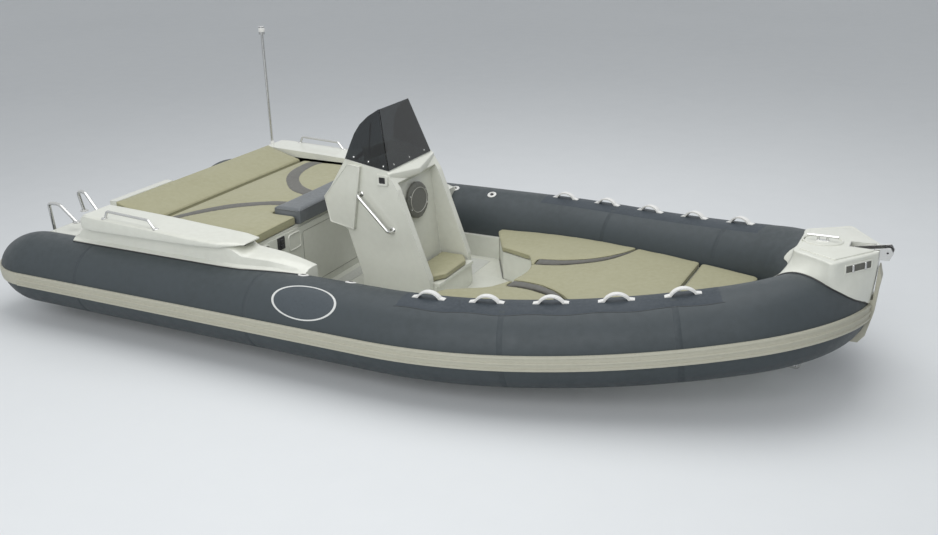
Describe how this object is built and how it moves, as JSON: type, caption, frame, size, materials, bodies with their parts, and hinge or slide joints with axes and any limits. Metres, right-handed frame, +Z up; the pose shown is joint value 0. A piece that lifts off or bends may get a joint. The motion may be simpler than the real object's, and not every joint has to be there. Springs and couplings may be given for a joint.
{
  "type": "inflatable boat with a rigid hull",
  "caption": "Open inflatable boat with a rigid vee hull, a grey collar, a console with a smoked screen, an aft sun lounge and bow cushions.",
  "frame": {"origin": "on the waterline, amidships on the centreline", "axes": "+X to the bow, +Y to port, +Z up"},
  "size_m": [5.768, 2.6424, 1.982],
  "materials": {
    "gelcoat_white": "glossy moulded gelcoat, off-white",
    "hull_white": "glossy gelcoat, white",
    "tube_fabric": "matt coated fabric, dark slate grey",
    "strake_rubber": "matt rubber, cream, with raised ribs",
    "cushion_tan": "marine vinyl over foam, sand colour",
    "cushion_grey": "marine vinyl over foam, dark grey",
    "handle_white": "moulded plastic, white",
    "stainless": "polished stainless steel",
    "screen_smoke": "smoked acrylic",
    "black_plastic": "satin moulded plastic, black"
  },
  "bodies": {
    "boat": {"anchor_bracket": "stainless", "boarding_hoops": "stainless", "bow_bands": "cushion_grey", "bow_cleat": "stainless", "bow_cushion_centre": "cushion_tan", "bow_cushion_port": "cushion_tan", "bow_cushion_starboard": "cushion_tan", "bow_deck": "gelcoat_white", "bow_nose": "gelcoat_white", "cockpit_liner": "gelcoat_white", "console": "gelcoat_white", "console_backrest": "cushion_grey", "console_cheeks": "gelcoat_white", "console_rails": "stainless", "console_vent": "black_plastic", "handles_port": "handle_white", "handles_starboard": "handle_white", "hull": "hull_white", "light_pole": "stainless", "lounge_base": "gelcoat_white", "side_moulding_port": "gelcoat_white", "side_moulding_starboard": "gelcoat_white", "side_rails": "stainless", "steering_boss": "black_plastic", "stem_guard": "strake_rubber", "stern_deck": "gelcoat_white", "strake_port": "strake_rubber", "strake_starboard": "strake_rubber", "sun_pad_aft": "cushion_tan", "swim_platform_port": "gelcoat_white", "swim_platform_starboard": "gelcoat_white", "tow_eye": "stainless", "tube_port": "tube_fabric", "tube_starboard": "tube_fabric", "windscreen": "screen_smoke"},
    "steering": {"steering_wheel": "black_plastic"},
    "lounge_hatch": {"lounge_lid": "gelcoat_white", "sun_pad_main": "cushion_tan", "helm_seat_cushion": "cushion_grey"},
    "console_hatch": {"console_seat_lid": "gelcoat_white", "console_seat_cushion": "cushion_tan"},
    "bow_hatch": {"bow_locker_lid": "gelcoat_white", "bow_cushion_fore": "cushion_tan"},
    "roller": {"anchor_roller": "black_plastic"}
  },
  "joints": [
    {"name": "steering_turn", "type": "hinge", "parent": "boat", "child": "steering", "pos_m": [-0.524, 0, 0.931], "axis": [-0.9118, 0, 0.4107], "range_deg": [-540, 540]},
    {"name": "lounge_hatch_lift", "type": "hinge", "parent": "boat", "child": "lounge_hatch", "pos_m": [-1.677, 0, 0.725], "axis": [0, -1, 0], "range_deg": [0, 65]},
    {"name": "console_hatch_lift", "type": "hinge", "parent": "boat", "child": "console_hatch", "pos_m": [-0.092, 0, 0.367], "axis": [0, -1, 0], "range_deg": [0, 80]},
    {"name": "bow_hatch_lift", "type": "hinge", "parent": "boat", "child": "bow_hatch", "pos_m": [1.7, 0, 0.4585], "axis": [0, -1, 0], "range_deg": [0, 75]},
    {"name": "roller_turn", "type": "hinge", "parent": "boat", "child": "roller", "pos_m": [2.838, 0, 0.842], "axis": [0, 1, 0], "continuous": true}
  ]
}
